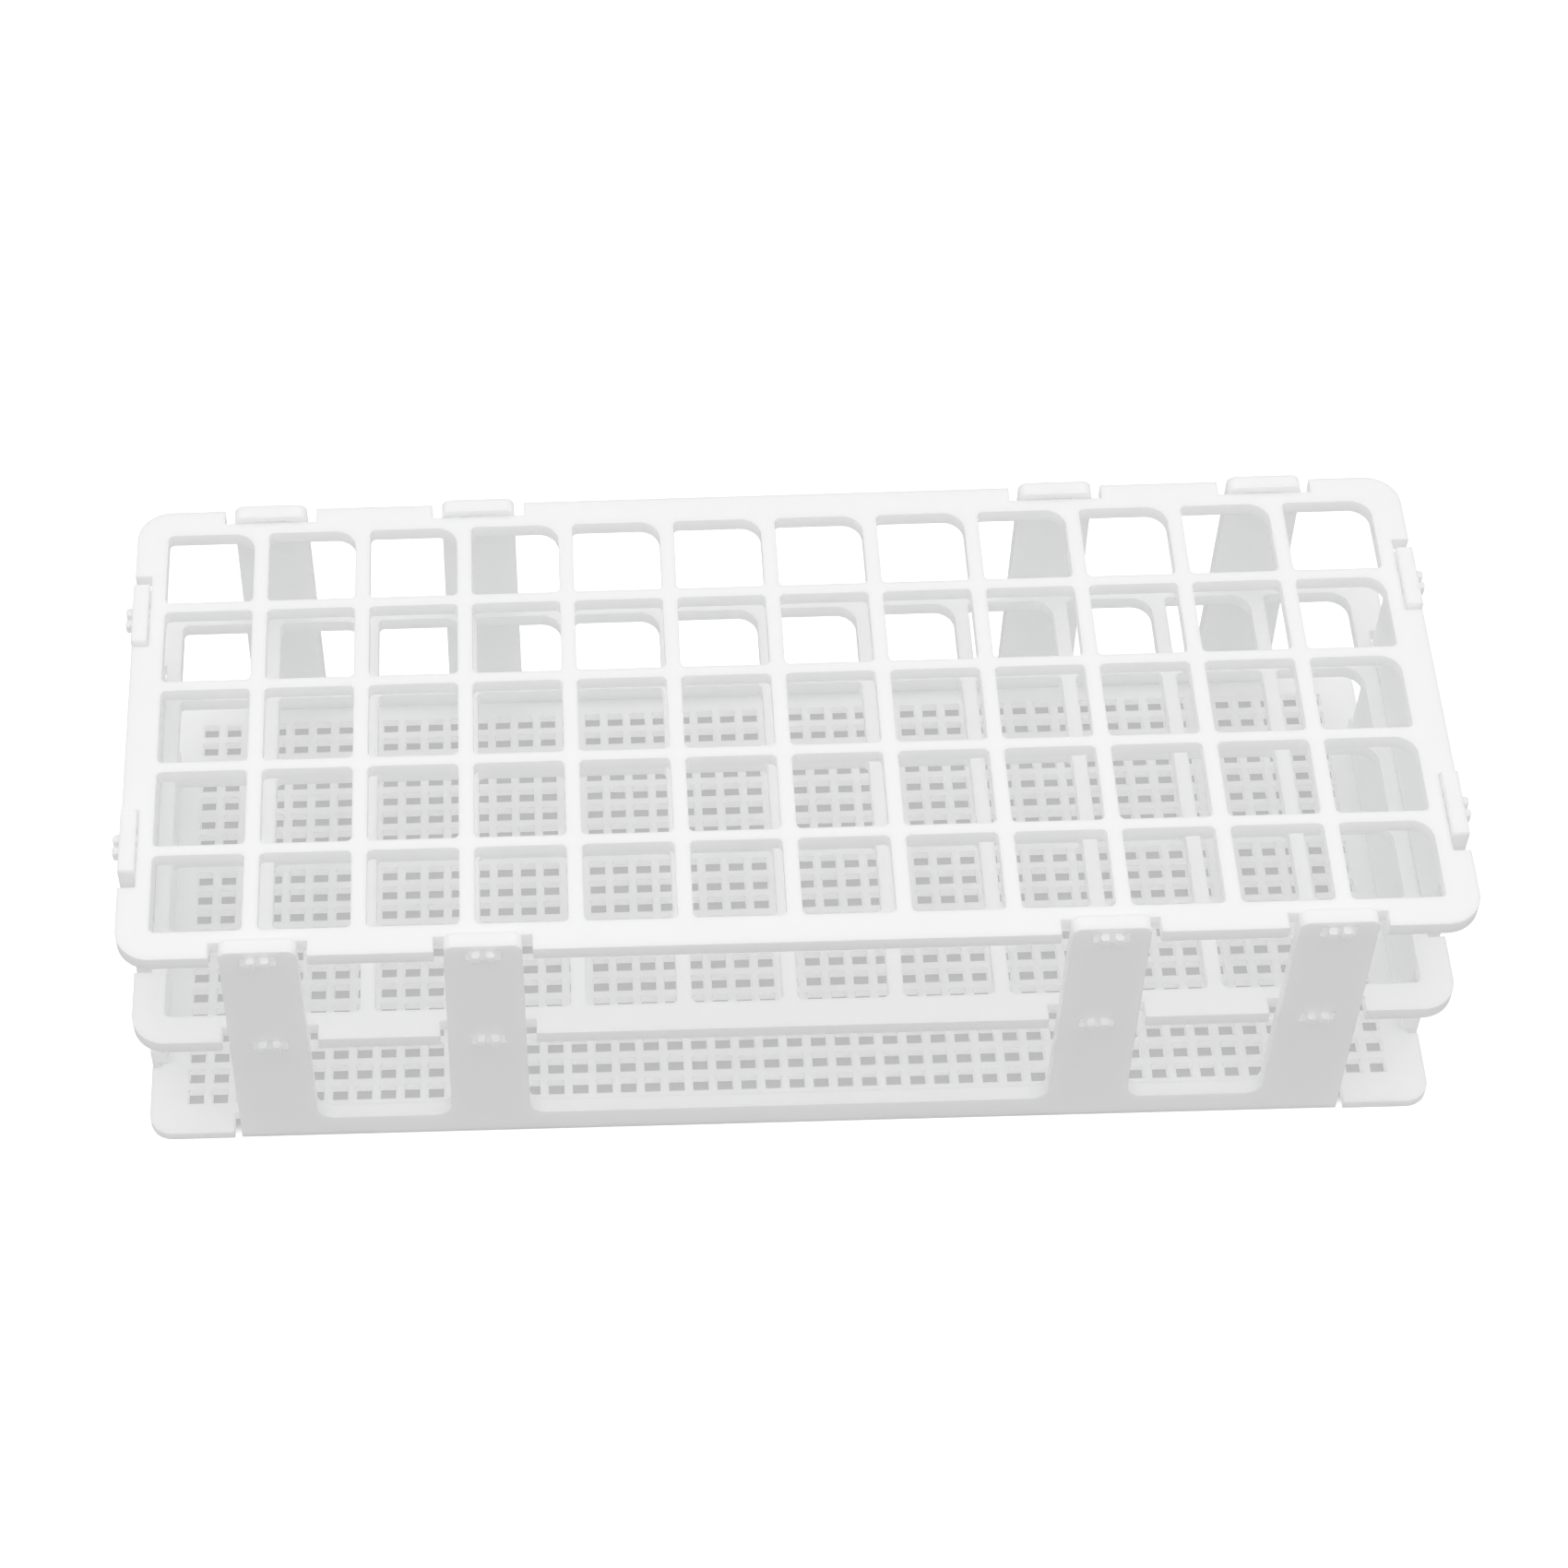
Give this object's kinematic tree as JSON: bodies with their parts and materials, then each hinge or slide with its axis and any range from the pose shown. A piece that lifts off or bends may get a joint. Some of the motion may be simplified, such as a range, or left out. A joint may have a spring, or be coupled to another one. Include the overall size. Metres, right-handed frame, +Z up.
{
  "type": "test tube holder",
  "caption": "White plastic rack that stands on a perforated base and holds round test tubes upright in square places in two shelves, with panels that fold flat.",
  "frame": {"origin": "centre of the base's underside", "axes": "+X along the rack's length, +Y from the front panel to the rear panel, +Z up"},
  "size_m": [0.2488, 0.1068, 0.0652],
  "materials": {
    "white_polypropylene": "satin moulded polypropylene"
  },
  "bodies": {
    "base": {"base_plate": "white_polypropylene", "front_living_hinge": "white_polypropylene", "rear_living_hinge": "white_polypropylene", "left_living_hinge": "white_polypropylene", "right_living_hinge": "white_polypropylene", "middle_shelf": "white_polypropylene", "top_shelf": "white_polypropylene"},
    "front_wall": {"front_panel": "white_polypropylene"},
    "rear_wall": {"rear_panel": "white_polypropylene"},
    "left_wall": {"left_end_panel": "white_polypropylene"},
    "right_wall": {"right_end_panel": "white_polypropylene"}
  },
  "joints": [
    {"name": "front_fold", "type": "hinge", "parent": "base", "child": "front_wall", "pos_m": [0, -0.0517, 0.0003], "axis": [1, 0, 0], "range_deg": [0, 90]},
    {"name": "rear_fold", "type": "hinge", "parent": "base", "child": "rear_wall", "pos_m": [0, 0.0517, 0.0003], "axis": [-1, 0, 0], "range_deg": [0, 90]},
    {"name": "left_fold", "type": "hinge", "parent": "base", "child": "left_wall", "pos_m": [-0.1227, 0, 0.0003], "axis": [0, -1, 0], "range_deg": [0, 90]},
    {"name": "right_fold", "type": "hinge", "parent": "base", "child": "right_wall", "pos_m": [0.1227, 0, 0.0003], "axis": [0, 1, 0], "range_deg": [0, 90]}
  ]
}
